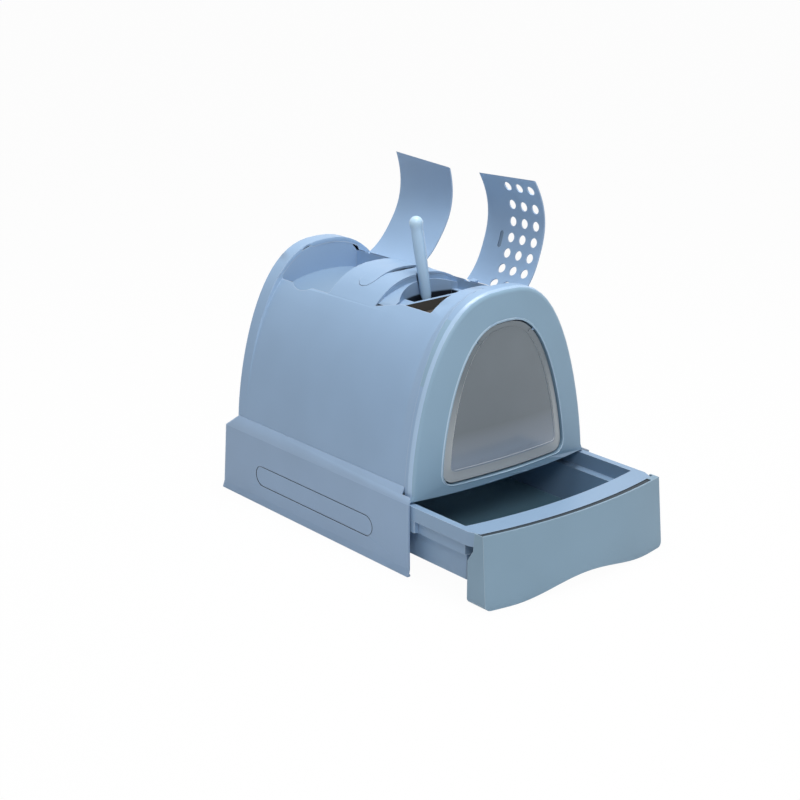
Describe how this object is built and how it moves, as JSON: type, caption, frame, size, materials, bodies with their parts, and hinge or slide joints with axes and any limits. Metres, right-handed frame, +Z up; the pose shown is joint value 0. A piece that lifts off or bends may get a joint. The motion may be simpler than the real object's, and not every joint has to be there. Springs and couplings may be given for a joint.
{
  "type": "drawer litter box",
  "caption": "Covered litter box with a pull-out litter drawer, an arched hood with a swing door flap, two hinged top lids over storage wells, a strap handle and a scoop.",
  "frame": {"origin": "middle of the base's underside", "axes": "+Z up, the door and the drawer face -Y, the lids hinge on the +X side"},
  "size_m": [0.4, 0.7137, 0.5782],
  "materials": {
    "base_plastic": "fine matte",
    "hood_plastic": "fine matte",
    "lid_plastic": "fine matte",
    "tray_plastic": "satin matte",
    "inner_plastic": "fine matte",
    "smoked_flap": "smoked clear plastic",
    "carbon_felt": "open foam"
  },
  "bodies": {
    "base": {"base_shell": "base_plastic", "side_panels": "base_plastic", "runner_left": "inner_plastic", "runner_right": "inner_plastic"},
    "drawer": {"drawer_tray": "tray_plastic", "drawer_front": "base_plastic"},
    "hood": {"hood_shell": "hood_plastic", "door_panel": "hood_plastic", "flap_pin_left": "inner_plastic", "flap_pin_right": "inner_plastic", "carry_handle": "hood_plastic", "rear_compartment": "hood_plastic", "front_compartment": "hood_plastic", "carbon_filter": "carbon_felt", "rear_lid_pins": "inner_plastic", "front_lid_pins": "inner_plastic"},
    "flap": {"door_flap": "smoked_flap"},
    "rear_lid_body": {"rear_lid": "lid_plastic"},
    "front_lid_body": {"front_lid": "lid_plastic"},
    "scoop_body": {"scoop": "lid_plastic"}
  },
  "joints": [
    {"name": "drawer_slide", "type": "slide", "parent": "base", "child": "drawer", "axis": [0, -1, 0], "range_m": [-0.162, 0.31]},
    {"name": "hood_lift", "type": "slide", "parent": "base", "child": "hood", "axis": [0, 0, 1], "range_m": [0, 0.3]},
    {"name": "flap_hinge", "type": "hinge", "parent": "hood", "child": "flap", "pos_m": [0, -0.26079, 0.354], "axis": [1, 0, 0], "range_deg": [-55, 55]},
    {"name": "rear_lid_hinge", "type": "hinge", "parent": "hood", "child": "rear_lid_body", "pos_m": [0.0735, 0.122, 0.39335], "axis": [0, 1, 0], "range_deg": [-125, 0]},
    {"name": "front_lid_hinge", "type": "hinge", "parent": "hood", "child": "front_lid_body", "pos_m": [0.0735, -0.142, 0.39335], "axis": [0, 1, 0], "range_deg": [-110, 0]},
    {"name": "scoop_lift", "type": "slide", "parent": "hood", "child": "scoop_body", "axis": [0, 0.2011, 0.9796], "range_m": [0, 0.16]}
  ]
}
